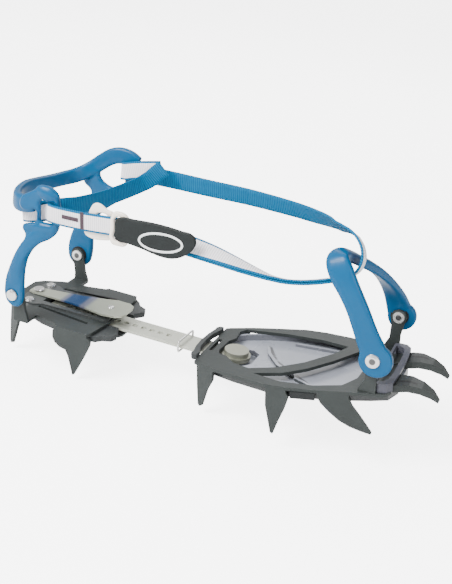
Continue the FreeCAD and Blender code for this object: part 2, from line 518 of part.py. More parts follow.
def toe_harness():
    """Toe bail: a broad near leg, a slim cross member sloping over the toe and a far leg."""
    leg_mid = size["ear_inner_toe"] + size["steel_thick"] + size["washer_thick"] + size["toe_leg_thick"] / 2
    foot = TOE_RIVET
    # each station: centre, width, thickness, direction of the outer face
    stations = [
        (foot + Vector(0.5, -leg_mid, -1.0), 16.5, 4.5, Vector(0, -1, 0)),
        (Vector(216.9, -leg_mid, 49.6), 13.8, 4.5, Vector(0, -1, 0)),
        (Vector(210.2, -34.3, 62.5), 12.4, 4.5, Vector(0, -1, 0.05)),
        (Vector(202.0, -33.2, 74.6), 12.4, 4.6, Vector(0, -1, 0.15)),
        (Vector(195.6, -31.0, 83.0), 12.0, 4.8, Vector(-0.2, -1, 0.4)),
        (Vector(193.4, -27.4, 87.4), 10.6, 5.2, Vector(-0.5, -0.8, 1)),
        (Vector(194.8, -20.6, 87.0), 8.4, 5.6, Vector(-0.1, -0.2, 1)),
        (Vector(197.7, -14.0, 83.9), 6.8, 5.6, Vector(0.3, 0.2, 1)),
        (Vector(201.5, -8.0, 80.4), 6.4, 5.6, Vector(0.4, 0.4, 1)),
        (Vector(206.0, 0.0, 75.8), 6.6, 5.4, Vector(0.4, 0.5, 1)),
        (Vector(210.7, 10.0, 69.2), 7.6, 5.2, Vector(0.4, 0.7, 0.9)),
        (Vector(215.2, 20.0, 60.4), 9.8, 4.9, Vector(0.3, 1, 0.6)),
        (Vector(219.4, 29.0, 49.4), 12.6, 4.6, Vector(0.1, 1, 0.35)),
        (Vector(222.0, 33.8, 41.4), 14.6, 4.5, Vector(0, 1, 0.05)),
        (foot + Vector(0.8, leg_mid, -1.0), 16.5, 4.5, Vector(0, 1, 0)),
    ]
    sections = []
    last = len(stations) - 1
    for i, (centre, wide, thick, outward) in enumerate(stations):
        along = stations[min(i + 1, last)][0] - stations[max(i - 1, 0)][0]
        along.normalize()
        if i in (0, last):
            along = Vector(0, 0, 1 if i == 0 else -1)
        across = along.cross(outward)
        across.normalize()
        face = across.cross(along)
        face.normalize()
        w = across * (wide / 2)
        t = face * (thick / 2)
        bevel = 0.7
        sections.append([centre + w * bevel + t, centre - w * bevel + t, centre - w + t * 0.4,
                         centre - w - t * 0.4, centre - w * bevel - t, centre + w * bevel - t,
                         centre + w - t * 0.4, centre + w + t * 0.4])
    shape = loft_sections(sections)
    wall = size["toe_leg_thick"]
    for side in (-1, 1):
        start = foot + Vector(0, side * (leg_mid - wall / 2), 0)
        disc = Part.makeCylinder(9.3, wall, start, Vector(0, side, 0))
        shape = shape.fuse(disc)
    bore = size["rivet_shank_rad"] + size["pivot_gap"] - 0.03
    reach = Part.makeCylinder(bore, 120, foot - Vector(0, 60, 0), Vector(0, 1, 0))
    gap = Part.makeBox(60, 2 * (leg_mid - wall / 2), 26, foot + Vector(-30, -(leg_mid - wall / 2), -14))
    shape = shape.cut(reach).cut(gap).removeSplitter()
    feature = doc.addObject("Part::Feature", "ToeHarness")
    feature.Shape = shape
    return keep(feature, "toe_harness")


# ---------------------------------------------------------------------- strap and closure
def strap_piece(label, stations, width=None, thick=None):
    """One run of webbing as a closed solid."""
    shape = ribbon(stations, width or size["strap_width"], thick or size["strap_thick"])
    feature = doc.addObject("Part::Feature", label.title().replace("_", ""))
    feature.Shape = shape
    return keep(feature, label)


def strap_runs():
    """The strap: buckle loop, crossing run, far run, toe loop, near run and sewn details."""
    strap_piece("buckle_strap",
                [(70.5, -47.4, 80.2, 0), (45.0, -47.2, 78.2, 0), (33.0, -46.6, 77.8, 0), (27.0, -45.6, 77.4, 0),
                 (22.6, -43.8, 77.0, 0), (21.2, -41.7, 76.9, 0), (20.2, -39.4, 76.7, 0), (16.0, -37.5, 74.4, 0),
                 (10.0, -36.8, 69.8, 0), (5.0, -35.4, 66.6, 0)], width=11.0)
    strap_piece("crossing_strap",
                [(4.8, -31.9, 66.4, 0), (10.0, -31.9, 70.0, 0), (15.5, -32.6, 75.2, 0), (24.4, -30.0, 78.4, 8),
                 (30.0, -20.0, 78.6, 10), (35.6, -5.0, 78.4, 8), (45.7, 14.0, 81.2, 4), (54.5, 29.0, 84.6, 0),
                 (60.5, 35.0, 86.0, 0), (70.0, 36.4, 86.4, 0)], width=11.0)
    strap_piece("far_strap_anchor",
                [(66.0, 38.2, 86.0, 0), (48.0, 38.0, 84.2, 0), (31.0, 37.8, 80.0, 0), (25.4, 38.1, 77.8, 0),
                 (21.8, 39.6, 77.2, 0), (20.9, 41.7, 77.1, 0), (21.8, 43.8, 77.2, 0), (25.4, 45.3, 77.8, 0),
                 (31.0, 45.8, 80.0, 0), (56.8, 45.6, 84.9, 0), (87.5, 45.6, 87.1, 0), (108.0, 45.6, 88.8, 0)],
                width=11.0)
    strap_piece("toe_strap",
                [(88.0, 43.7, 87.1, 0), (115.3, 43.2, 89.4, 0), (144.0, 36.4, 89.0, 0), (158.0, 30.0, 88.6, -6),
                 (169.0, 21.0, 89.4, -18), (178.0, 10.5, 92.0, -32), (185.0, 0.5, 95.0, -46),
                 (191.8, -8.0, 97.6, -57), (198.8, -14.4, 98.0, -62), (204.0, -18.0, 94.8, -65),
                 (206.6, -19.6, 89.4, -65), (206.6, -20.4, 83.2, -65), (204.4, -20.8, 77.6, -65),
                 (200.2, -21.2, 73.4, -65), (194.8, -21.8, 71.0, -63), (188.0, -23.2, 69.8, -59),
                 (180.6, -26.4, 68.0, -54), (173.0, -30.0, 67.6, -46), (164.0, -34.6, 68.6, -34),
                 (152.0, -40.0, 72.2, -18), (140.0, -43.6, 75.6, -7), (126.0, -45.8, 78.4, 0),
                 (110.0, -46.5, 79.6, 0), (84.0, -46.5, 79.8, 0)])
    strap_piece("strap_tail",
                [(76.0, -48.4, 80.0, 0), (92.0, -48.4, 79.8, 0), (112.0, -48.4, 79.2, 0)], thick=1.2)
    strap_piece("bar_tack_long", [(34.0, -48.05, 76.9, 0), (43.0, -48.25, 77.4, 0)], width=2.2, thick=0.5)
    strap_piece("bar_tack_cross", [(45.6, -48.3, 78.2, 0), (47.6, -48.35, 78.4, 0)], width=9.6, thick=0.5)


def buckle():
    """Cam buckle: a winged frame behind the webbing and a ring in front of it."""
    body = new_body("buckle_frame")
    outer = [(49.0, 72.0), (50.4, 69.4), (60.0, 69.0), (62.0, 71.0), (66.6, 72.0), (67.0, 86.6), (62.6, 88.0),
             (60.4, 90.0), (54.0, 91.0), (51.0, 89.6), (50.4, 86.4)]
    inner = [(54.0, 73.4), (62.6, 73.4), (62.6, 85.2), (54.0, 85.2)]
    face = sketch(body, "buckle_face", "XZ_Plane", [outer, inner], shift=(0, 0, 44.6))
    pad(body, "buckle_plate", face, 1.7)
    keep(body, "buckle_frame")
    body = new_body("buckle_ring")
    outer = [(66.4, 71.8), (68.0, 70.2), (76.4, 70.6), (77.8, 72.2), (77.8, 87.0), (76.4, 88.6), (68.0, 89.2),
             (66.4, 87.6)]
    inner = [(68.6, 73.2), (75.0, 73.6), (75.0, 85.8), (68.6, 86.2)]
    face = sketch(body, "ring_face", "XZ_Plane", [outer, inner], shift=(0, 0, 49.2))
    pad(body, "ring_plate", face, 1.8)
    keep(body, "buckle_ring")


def pull_tab():
    """Rubber pull tab hinged on the buckle ring, with a raised plain oval."""
    body = new_body("pull_tab")
    outline = [(70.6, 74.4), (78.0, 73.6), (86.0, 72.4), (94.0, 70.6), (102.0, 69.6), (108.0, 70.6),
               (114.4, 74.4), (118.6, 79.8), (119.6, 84.6), (118.0, 87.4), (110.0, 88.8), (96.0, 89.4),
               (82.0, 88.4), (72.0, 87.0)]
    face = sketch(body, "tab_face", "XZ_Plane", [outline], shift=(0, 0, 51.2))
    pad(body, "tab_plate", face, "tab_thick")
    keep(body, "pull_tab")
    body = new_body("tab_emblem")
    oval = [(86.0, 79.0), (88.0, 76.6), (93.0, 74.8), (101.0, 73.9), (107.0, 75.0), (111.6, 78.0),
            (112.8, 81.4), (110.0, 84.2), (103.0, 85.4), (94.0, 85.2), (88.0, 83.6), (86.0, 81.4)]
    core = [(87.4, 79.4), (89.0, 77.6), (93.4, 76.2), (101.0, 75.3), (106.4, 76.2), (110.3, 78.7),
            (111.2, 81.2), (109.2, 83.0), (102.8, 84.0), (94.2, 83.8), (88.8, 82.4), (87.4, 81.0)]
    face = sketch(body, "emblem_face", "XZ_Plane", [oval, core], shift=(0, 0, 51.2 + size["tab_thick"] + 0.01))
    pad(body, "emblem_line", face, 0.5)
    keep(body, "tab_emblem")


# ------------------------------------------------------------------------------- assembly
heel_frame()
heel_guide()
heel_antiball()
heel_fasteners()
link_bar()
bar_ring()
leaf()
front_frame()
front_antiball()
rear_band()
toe_rail()
antiball_clips()
pivot_pieces("toe", TOE_RIVET, size["ear_inner_toe"], size["toe_leg_thick"], 4.2)
heel_harness()
toe_harness()
strap_runs()
buckle()
pull_tab()

# the turned and placed pieces take their key sizes from the sheet
for obj, label in exported:
    if label in ("front_frame", "front_antiball_plate", "antiball_rear_band", "antiball_toe_rail",
                 "antiball_clip_near", "antiball_clip_far"):
        obj.setExpression("Placement.Base.x", "Sizes.front_offset")
        obj.setExpression("Placement.Base.z", "Sizes.front_drop")
doc.recompute()

for obj in doc.Objects:
    for flag in obj.State:
        if flag in ("Invalid", "Error"):
            raise ValueError("%s is %s" % (obj.Label, flag))
for obj, label in exported:
    shape = obj.Shape
    if shape.isNull() or not shape.isValid() or shape.Volume <= 0:
        raise ValueError(label + " has no valid solid")
    shape.exportStep("parts/" + label + ".step")
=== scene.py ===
import math

import bmesh
import bpy
from mathutils import Matrix, Vector


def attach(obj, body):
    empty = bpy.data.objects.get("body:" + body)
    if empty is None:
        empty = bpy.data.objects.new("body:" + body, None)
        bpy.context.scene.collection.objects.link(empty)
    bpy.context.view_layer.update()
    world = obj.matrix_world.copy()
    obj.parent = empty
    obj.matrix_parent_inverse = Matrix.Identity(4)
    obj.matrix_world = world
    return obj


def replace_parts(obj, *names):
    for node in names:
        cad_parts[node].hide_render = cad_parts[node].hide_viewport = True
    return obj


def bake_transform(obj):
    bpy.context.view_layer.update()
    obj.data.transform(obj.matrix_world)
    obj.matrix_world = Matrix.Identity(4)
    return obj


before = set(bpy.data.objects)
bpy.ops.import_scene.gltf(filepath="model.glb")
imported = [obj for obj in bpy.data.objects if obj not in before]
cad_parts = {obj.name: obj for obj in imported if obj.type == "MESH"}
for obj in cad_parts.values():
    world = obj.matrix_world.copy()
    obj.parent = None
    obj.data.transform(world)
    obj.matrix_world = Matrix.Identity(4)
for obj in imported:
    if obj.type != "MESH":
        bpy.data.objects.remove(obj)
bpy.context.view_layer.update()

# Sizes are in millimetres in the part's own frame, X towards the front points and Z up, and
# angles in degrees. Meshes are written in metres.
MM = 0.001
HEEL_PIVOT = (0.0, 17.0)                    # (x, z) of the rivets through the heel harness
HEEL_WALL = 39.5                            # inner faces of the heel harness from the middle
PANEL_Y = HEEL_WALL + 2.2                   # middle plane of each heel harness panel
PANEL_THICK = 4.3
PANEL_RIM = 1.7                             # rounding of a panel's edges
FRONT_TILT = math.radians(8)                # the front half tips up about its joint with the bar
FRONT_JOINT = (118.0, -0.5)
TOE_PIVOT_AHEAD = 110.0                     # rivets through the toe harness, from that joint
TOE_PIVOT_UP = 21.8
TOE_WALL = 34.75                            # middle of each toe harness leg from the middle
TOE_BOSS_HALF = 2.2
EYELET_DISH = 1.9                           # radius of the painted shade in the dished middle of a rivet head
HEEL_SLOT = ((3.6, 14.6), (41.0, 22.4))     # painted shade of the long slot in the heel plate beside the leaf
HEEL_SLOT_HALF = 2.5
GROOVE_Y = 17.8                             # painted shade of the pressed grooves, from the middle
CREASE_FADE = 3.0                           # length over which the end of a drawn line fades
# Lines of painted shade along the moulded ribs of the film, as (x, y) ends in mm.
FILM_RIBS = (((149.0, 22.0), (159.5, 2.5)), ((159.5, 2.5), (168.0, -5.5)),
             ((176.0, -12.0), (190.0, -25.0)))
FILM_RIB_HALF = 1.7
FILM_MIDDLE = 175.0
WEAVE_PITCH = 1.35                          # one rib of the webbing to the next
WEAVE_LINES = 15                            # fine lines across the webbing's width
WHITE_HALF = 0.385                          # half of the white face, as a share of the width
TOE_PIVOT = (FRONT_JOINT[0] + TOE_PIVOT_AHEAD * math.cos(FRONT_TILT) - TOE_PIVOT_UP * math.sin(FRONT_TILT),
             FRONT_JOINT[1] + TOE_PIVOT_AHEAD * math.sin(FRONT_TILT) + TOE_PIVOT_UP * math.cos(FRONT_TILT))


def mm(*sizes):
    """Metres from millimetres."""
    return [size * MM for size in sizes]


# ------------------------------------------------------------------------------ materials
def material(name, colour, rough=0.5, metal=0.0, **extra):
    """A Principled material; extra holds further inputs with underscores for spaces."""
    mat = bpy.data.materials.new(name)
    mat.use_nodes = True
    shader = mat.node_tree.nodes["Principled BSDF"]
    shader.inputs["Base Color"].default_value = (*colour, 1)
    shader.inputs["Roughness"].default_value = rough
    shader.inputs["Metallic"].default_value = metal
    for key, value in extra.items():
        shader.inputs[key.replace("_", " ")].default_value = value
    return mat


def shader_of(mat):
    """The material's Principled node."""
    return mat.node_tree.nodes["Principled BSDF"]


def add(mat, kind, **settings):
    """Add a node to a material or world; settings are its inputs by name or its properties."""
    node = mat.node_tree.nodes.new(kind)
    for key, value in settings.items():
        if key in node.inputs:
            node.inputs[key].default_value = value
        else:
            setattr(node, key, value)
    return node


def link(mat, a, b):
    """Join an output socket to an input socket."""
    mat.node_tree.links.new(a, b)


def calc(mat, operation, a, b=0.0):
    """A math node fed by sockets or plain numbers; returns its output."""
    node = add(mat, "ShaderNodeMath", operation=operation)
    for slot, value in ((0, a), (1, b)):
        if isinstance(value, (int, float)):
            node.inputs[slot].default_value = value
        else:
            link(mat, value, node.inputs[slot])
    return node.outputs[0]


def mix_colour(mat, mask, base, other):
    """Colour socket: base where mask is 0, other where it is 1."""
    node = add(mat, "ShaderNodeMix", data_type="RGBA")
    link(mat, mask, node.inputs["Factor"])
    for slot, value in ((6, base), (7, other)):
        if isinstance(value, tuple):
            node.inputs[slot].default_value = (*value, 1)
        else:
            link(mat, value, node.inputs[slot])
    return node.outputs[2]


def axes(mat, vector):
    """The X, Y and Z sockets of a vector."""
    parts = add(mat, "ShaderNodeSeparateXYZ")
    link(mat, vector, parts.inputs[0])
    return parts.outputs


def position(mat):
    """Separated object-space coordinates in metres."""
    return axes(mat, add(mat, "ShaderNodeTexCoord").outputs["Object"])


def remap(mat, value, before, after):
    """A value moved from one (low, high) range to another, held at the ends."""
    node = add(mat, "ShaderNodeMapRange")
    for name, limit in zip(("From Min", "From Max", "To Min", "To Max"), (*before, *after)):
        node.inputs[name].default_value = limit
    link(mat, value, node.inputs["Value"])
    return node


def step(mat, value, low, high):
    """0 below low, 1 above high, smooth between."""
    node = remap(mat, value, (low, high), (0.0, 1.0))
    node.interpolation_type = "SMOOTHSTEP"
    return node.outputs["Result"]


def invert(mat, mask):
    """The opposite of a mask."""
    return calc(mat, "SUBTRACT", 1.0, mask)


def band(mat, value, rise, fall):
    """1 between two smooth edges, each given as (low, high), and 0 outside them."""
    return calc(mat, "MULTIPLY", step(mat, value, *rise), invert(mat, step(mat, value, *fall)))


def emboss(mat, height, strength, distance):
    """Bump the surface with a height socket."""
    relief = add(mat, "ShaderNodeBump", Strength=strength, Distance=distance)
    link(mat, height, relief.inputs["Height"])
    link(mat, relief.outputs["Normal"], shader_of(mat).inputs["Normal"])


def grain(mat, scale, spread, bump, stretch=(1, 1, 1), rough_spread=0.1):
    """Colour, roughness and bump variation from noise in object space."""
    shader = shader_of(mat)
    where = add(mat, "ShaderNodeTexCoord")
    move = add(mat, "ShaderNodeMapping", Scale=stretch)
    noise = add(mat, "ShaderNodeTexNoise", Scale=scale, Detail=4.0)
    link(mat, where.outputs["Object"], move.inputs["Vector"])
    link(mat, move.outputs["Vector"], noise.inputs["Vector"])
    base = shader.inputs["Base Color"].default_value[:3]
    ramp = add(mat, "ShaderNodeValToRGB")
    ramp.color_ramp.elements[0].position = 0.3
    ramp.color_ramp.elements[1].position = 0.7
    ramp.color_ramp.elements[0].color = (*[c * (1 - spread) for c in base], 1)
    ramp.color_ramp.elements[1].color = (*[min(1, c * (1 + spread)) for c in base], 1)
    link(mat, noise.outputs["Fac"], ramp.inputs["Fac"])
    link(mat, ramp.outputs["Color"], shader.inputs["Base Color"])
    rough = shader.inputs["Roughness"].default_value
    limits = (max(0.02, rough - rough_spread), min(1.0, rough + rough_spread))
    span = remap(mat, noise.outputs["Fac"], (0.0, 1.0), limits)
    link(mat, span.outputs["Result"], shader.inputs["Roughness"])
    if bump > 0:
        fine = add(mat, "ShaderNodeTexNoise", Scale=scale * 6, Detail=2.0)
        link(mat, move.outputs["Vector"], fine.inputs["Vector"])
        emboss(mat, fine.outputs["Fac"], bump, 0.4 * MM)
    return mat


def repaint(mat, mask, colour):
    """Blend another colour over a material's present base colour where mask is 1."""
    shader = shader_of(mat)
    present = shader.inputs["Base Color"].links[0].from_socket
    link(mat, mix_colour(mat, mask, present, colour), shader.inputs["Base Color"])


def crease(mat, x, y, start, end, half):
    """Mask along the line between two (x, y) points in mm, seen from above."""
    (ax, ay), (bx, by) = start, end
    length = math.hypot(bx - ax, by - ay)
    ux, uy = (bx - ax) / length, (by - ay) / length
    rx = calc(mat, "SUBTRACT", x, ax * MM)
    ry = calc(mat, "SUBTRACT", y, ay * MM)
    along = calc(mat, "ADD", calc(mat, "MULTIPLY", rx, ux), calc(mat, "MULTIPLY", ry, uy))
    off = calc(mat, "SUBTRACT", calc(mat, "MULTIPLY", rx, uy), calc(mat, "MULTIPLY", ry, ux))
    thin = invert(mat, step(mat, calc(mat, "ABSOLUTE", off), *mm(half * 0.5, half)))
    inside = band(mat, along, mm(0, CREASE_FADE), mm(length - CREASE_FADE, length))
    return calc(mat, "MULTIPLY", thin, inside)


def frame_steel():
    """Dark painted steel, with painted shade in the pressed grooves along the front points and in a slot by
    the leaf.
    """
    mat = grain(material("frame_steel", (0.027, 0.032, 0.031), 0.46, 0.10, Specular_IOR_Level=0.28),
                70, 0.10, 0.22)
    x, y = position(mat)[:2]
    # Painted shade darkens the pressed grooves along the front points.
    off = calc(mat, "ABSOLUTE", calc(mat, "SUBTRACT", calc(mat, "ABSOLUTE", y), GROOVE_Y * MM))
    groove_shade = invert(mat, step(mat, off, *mm(0.8, 1.6)))
    length = band(mat, x, mm(237.5, 238.5), mm(247, 249))
    repaint(mat, calc(mat, "MULTIPLY", groove_shade, length), (0.006, 0.007, 0.007))
    # Painted shade stands for the slot beside the leaf, drawn in the colour only.
    repaint(mat, crease(mat, x, y, *HEEL_SLOT, HEEL_SLOT_HALF), (0.003, 0.0035, 0.004))
    return mat


def tempered_leaf():
    """Satin spring steel with a blue tempered band, violet at its two ends."""
    mat = grain(material("tempered_leaf", (0.36, 0.38, 0.31), 0.36, 0.6), 60, 0.05, 0.15, (1, 14, 14))
    x = position(mat)[0]
    violet = band(mat, x, mm(11.5, 14.5), mm(30.5, 34.5))
    blue = band(mat, x, mm(14.5, 17.2), mm(26.2, 29.5))
    repaint(mat, calc(mat, "MULTIPLY", violet, 0.75), (0.11, 0.11, 0.22))
    repaint(mat, calc(mat, "MULTIPLY", blue, 0.95), (0.004, 0.055, 0.17))
    return mat


def bar_metal():
    """Brushed link bar with a duller riveted head."""
    mat = grain(material("bar_steel", (0.46, 0.47, 0.405), 0.36, 0.5), 60, 0.06, 0.15, (1, 12, 12))
    repaint(mat, step(mat, position(mat)[0], *mm(118.5, 119.5)), (0.25, 0.255, 0.205))
    return mat


def eyelet(name, pivot):
    """Bright rivet with painted shade in its dished middle, at an (x, z) pivot, seen along Y."""
    mat = grain(material(name, (0.80, 0.80, 0.78), 0.25, 0.85), 120, 0.05, 0.1)
    where = position(mat)
    dx = calc(mat, "SUBTRACT", where[0], pivot[0] * MM)
    dz = calc(mat, "SUBTRACT", where[2], pivot[1] * MM)
    away = calc(mat, "SQRT", calc(mat, "ADD", calc(mat, "MULTIPLY", dx, dx), calc(mat, "MULTIPLY", dz, dz)))
    # Painted shade in the dished middle of the rivet.
    dish_shade = invert(mat, step(mat, away, *mm(EYELET_DISH * 0.85, EYELET_DISH * 1.1)))
    repaint(mat, dish_shade, (0.10, 0.10, 0.10))
    return mat


def tray_film():
    """Lavender-grey flexible film, with painted shade along its moulded ribs, on walls that face sideways
    and, darkest, on outside walls.
    """
    mat = grain(material("tray_film", (0.27, 0.285, 0.325), 0.27, Specular_IOR_Level=0.5),
                26, 0.14, 0.12)
    x, y = position(mat)[:2]
    # Painted shade along the moulded ribs.
    for start, end in FILM_RIBS:
        repaint(mat, crease(mat, x, y, start, end, FILM_RIB_HALF), (0.085, 0.09, 0.10))
    # Painted shade by facing: walls that face sideways are darker, and outside walls darker still.
    normal = axes(mat, add(mat, "ShaderNodeNewGeometry").outputs["Normal"])
    side = invert(mat, step(mat, normal[2], 0.15, 0.6))
    out_y = calc(mat, "MULTIPLY", calc(mat, "MULTIPLY", y, 6.0), normal[1])
    out_x = calc(mat, "MULTIPLY", calc(mat, "SUBTRACT", x, FILM_MIDDLE * MM), normal[0])
    outward = step(mat, calc(mat, "ADD", out_y, out_x), *mm(-2, 2))
    repaint(mat, side, (0.125, 0.13, 0.15))
    repaint(mat, calc(mat, "MULTIPLY", side, outward), (0.028, 0.032, 0.033))
    return mat


def webbing_material():
    """Two-sided webbing: white face, blue back and edges, fine ribs across the tape."""
    mat = material("webbing", (0.01, 0.16, 0.34), 0.75, Specular_IOR_Level=0.15)
    along, across = axes(mat, add(mat, "ShaderNodeUVMap", uv_map="tape").outputs["UV"])[:2]
    side = add(mat, "ShaderNodeAttribute", attribute_name="white_side")
    middle = calc(mat, "ABSOLUTE", calc(mat, "SUBTRACT", across, 0.5))
    inside = invert(mat, step(mat, middle, WHITE_HALF, WHITE_HALF + 0.015))
    white = calc(mat, "MULTIPLY", side.outputs["Fac"], inside)
    rib = calc(mat, "SINE", calc(mat, "MULTIPLY", along, 2 * math.pi / WEAVE_PITCH))
    rib = calc(mat, "ADD", calc(mat, "MULTIPLY", rib, 0.5), 0.5)
    fine = calc(mat, "SINE", calc(mat, "MULTIPLY", across, 2 * math.pi * WEAVE_LINES))
    fleck = add(mat, "ShaderNodeTexNoise", Scale=900.0, Detail=3.0)
    detail = calc(mat, "ADD", calc(mat, "MULTIPLY", fine, 0.12),
                  calc(mat, "MULTIPLY", fleck.outputs["Fac"], 0.25))
    blue = mix_colour(mat, rib, (0.0, 0.070, 0.175), (0.0, 0.130, 0.275))
    pale = mix_colour(mat, rib, (0.70, 0.68, 0.72), (0.93, 0.91, 0.94))
    link(mat, mix_colour(mat, white, blue, pale), shader_of(mat).inputs["Base Color"])
    emboss(mat, calc(mat, "ADD", calc(mat, "MULTIPLY", rib, 0.8), detail), 0.55, 0.5 * MM)
    return mat


steel = frame_steel()
leaf_steel = tempered_leaf()
bar_steel = bar_metal()
guide_metal = grain(material("guide_metal", (0.055, 0.060, 0.060), 0.42, 0.3), 80, 0.10, 0.2, (1, 6, 6))
bright_steel = grain(material("bright_steel", (0.74, 0.74, 0.72), 0.24, 0.9), 120, 0.05, 0.1)
screw_steel = grain(material("screw_steel", (0.66, 0.66, 0.65), 0.22, 0.95), 140, 0.06, 0.1)
heel_eyelet = eyelet("heel_eyelet", HEEL_PIVOT)
toe_eyelet = eyelet("toe_eyelet", TOE_PIVOT)
black_plastic = grain(material("black_plastic", (0.012, 0.014, 0.0145), 0.48, Specular_IOR_Level=0.25),
                      150, 0.2, 0.3)
lug_plastic = grain(material("lug_plastic", (0.034, 0.038, 0.039), 0.46, Specular_IOR_Level=0.28),
                    110, 0.15, 0.25)
film = tray_film()
rail_plastic = grain(material("rail_plastic", (0.070, 0.072, 0.090), 0.40, Specular_IOR_Level=0.3),
                     60, 0.10, 0.12)
blue_plastic = grain(material("blue_plastic", (0.0, 0.070, 0.176), 0.33, Specular_IOR_Level=0.20,
                              Coat_Weight=0.04, Coat_Roughness=0.18), 34, 0.05, 0.10, rough_spread=0.05)
ivory = grain(material("ivory", (0.93, 0.85, 0.74), 0.33, Coat_Weight=0.2), 60, 0.03, 0.1)
rubber = grain(material("rubber", (0.010, 0.0125, 0.0125), 0.6, Specular_IOR_Level=0.22), 160, 0.15, 0.35)
white_mark = grain(material("white_mark", (0.78, 0.80, 0.80), 0.5), 80, 0.03, 0.1)
webbing = webbing_material()
thread = grain(material("thread", (0.045, 0.025, 0.035), 0.8), 900, 0.3, 0.6)


# ----------------------------------------------------------------------- mesh construction
def smooth_path(stations, steps):
    """Catmull-Rom interpolation of equal-length number tuples."""
    last = len(stations) - 1
    out = []
    for i in range(last):
        before, here = stations[max(i - 1, 0)], stations[i]
        there, after = stations[i + 1], stations[min(i + 2, last)]
        for k in range(steps):
            t = k / steps
            out.append(tuple(0.5 * (2 * b + (c - a) * t + (2 * a - 5 * b + 4 * c - d) * t ** 2
                                    + (3 * b - a - 3 * c + d) * t ** 3)
                             for a, b, c, d in zip(before, here, there, after)))
    out.append(tuple(stations[last]))
    return out


def rounded(width, thick, count=20, power=0.55):
    """Rounded-rectangle section as (across, outward) offsets."""
    points = []
    for i in range(count):
        angle = 2 * math.pi * i / count
        c, s = math.cos(angle), math.sin(angle)
        points.append((width / 2 * math.copysign(abs(c) ** power, c),
                       thick / 2 * math.copysign(abs(s) ** power, s)))
    return points


def circle(centre, radius, count):
    """Points (u, v) round a circle."""
    angles = [2 * math.pi * k / count for k in range(count)]
    return [(centre[0] + radius * math.cos(a), centre[1] + radius * math.sin(a)) for a in angles]


def mesh_of(name, bm):
    """Mesh from a bmesh, which is freed."""
    mesh = bpy.data.meshes.new(name)
    bm.to_mesh(mesh)
    bm.free()
    return mesh


def bake(obj):
    """Apply an object's modifiers to its mesh."""
    whole = obj.evaluated_get(bpy.context.evaluated_depsgraph_get())
    baked = bpy.data.meshes.new_from_object(whole)
    obj.modifiers.clear()
    obj.data = baked
    return obj


def new_object(name, mesh, mat):
    """An object holding a mesh, smooth shaded, with one material."""
    obj = bpy.data.objects.new(name, mesh)
    bpy.context.scene.collection.objects.link(obj)
    mesh.materials.append(mat)
    for face in mesh.polygons:
        face.use_smooth = True
    return obj


def tube(rings, closed=False):
    """bmesh skin over equal-length rings of points in mm; capped unless closed."""
    bm = bmesh.new()
    rows = [[bm.verts.new(Vector(p) * MM) for p in ring] for ring in rings]
    count = len(rows[0])
    pairs = list(zip(rows, rows[1:]))
    if closed:
        pairs.append((rows[-1], rows[0]))
    for low, high in pairs:
        for j in range(count):
            bm.faces.new((low[j], low[(j + 1) % count], high[(j + 1) % count], high[j]))
    if not closed:
        bm.faces.new(list(reversed(rows[0])))
        bm.faces.new(rows[-1])
    bmesh.ops.recalc_face_normals(bm, faces=bm.faces)
    return bm


def sweep(stations, steps=6, power=0.55, closed=False):
    """Rounded bar through (x, y, z, width, thick, outward x, y, z) stations."""
    path = smooth_path(stations, steps)
    rings = []
    last = len(path) - 1
    for i, (x, y, z, width, thick, ox, oy, oz) in enumerate(path):
        if closed:
            ahead, behind = path[(i + 1) % (last + 1)], path[i - 1]
        else:
            ahead, behind = path[min(i + 1, last)], path[max(i - 1, 0)]
        along = (Vector(ahead[:3]) - Vector(behind[:3])).normalized()
        across = along.cross(Vector((ox, oy, oz))).normalized()
        outward = across.cross(along).normalized()
        centre = Vector((x, y, z))
        rings.append([centre + across * u + outward * v for u, v in rounded(width, thick, power=power)])
    return tube(rings, closed)


def plate(outline, holes, thick, bevel):
    """Flat piece from (u, v) outlines with rounded rims, in a local XY plane; returns a mesh."""
    curve = bpy.data.curves.new("plate_outline", "CURVE")
    curve.dimensions = "2D"
    curve.fill_mode = "BOTH"
    curve.extrude = max(thick / 2 - bevel, 0) * MM
    curve.bevel_depth = bevel * MM
    curve.bevel_resolution = 3
    curve.offset = -bevel * MM
    curve.resolution_u = 8
    for loop in [outline] + list(holes):
        spline = curve.splines.new("BEZIER")
        spline.bezier_points.add(len(loop) - 1)
        for point, (u, v) in zip(spline.bezier_points, loop):
            point.co = (u * MM, v * MM, 0)
            point.handle_left_type = point.handle_right_type = "AUTO"
        spline.use_cyclic_u = True
    holder = bpy.data.objects.new("plate_holder", curve)
    bpy.context.scene.collection.objects.link(holder)
    bpy.context.view_layer.update()
    mesh = bpy.data.meshes.new_from_object(holder.evaluated_get(bpy.context.evaluated_depsgraph_get()))
    bpy.data.objects.remove(holder)
    bpy.data.curves.remove(curve)
    return mesh


def stand(mesh, depth):
    """Turn a local XY plate to stand in the XZ plane at y = depth (mm)."""
    mesh.transform(Matrix.Translation((0, depth * MM, 0)) @ Matrix.Rotation(math.radians(90), 4, "X"))
    return mesh


def add_mesh(bm, mesh):
    """Append a mesh to a bmesh and drop the mesh."""
    bm.from_mesh(mesh)
    bpy.data.meshes.remove(mesh)


def add_part(bm, part):
    """Append another bmesh to a bmesh and free it."""
    add_mesh(bm, mesh_of("part", part))


def fused(name, bm, mat, voxel, rounds):
    """Join overlapping shells into one moulded skin and soften it."""
    bmesh.ops.triangulate(bm, faces=bm.faces)
    obj = new_object(name, mesh_of(name, bm), mat)
    skin = obj.modifiers.new("skin", "REMESH")
    skin.mode = "VOXEL"
    skin.voxel_size = voxel * MM
    soften = obj.modifiers.new("soften", "SMOOTH")
    soften.factor = 0.5
    soften.iterations = rounds
    bake(obj)
    for face in obj.data.polygons:
        face.use_smooth = True
    return obj


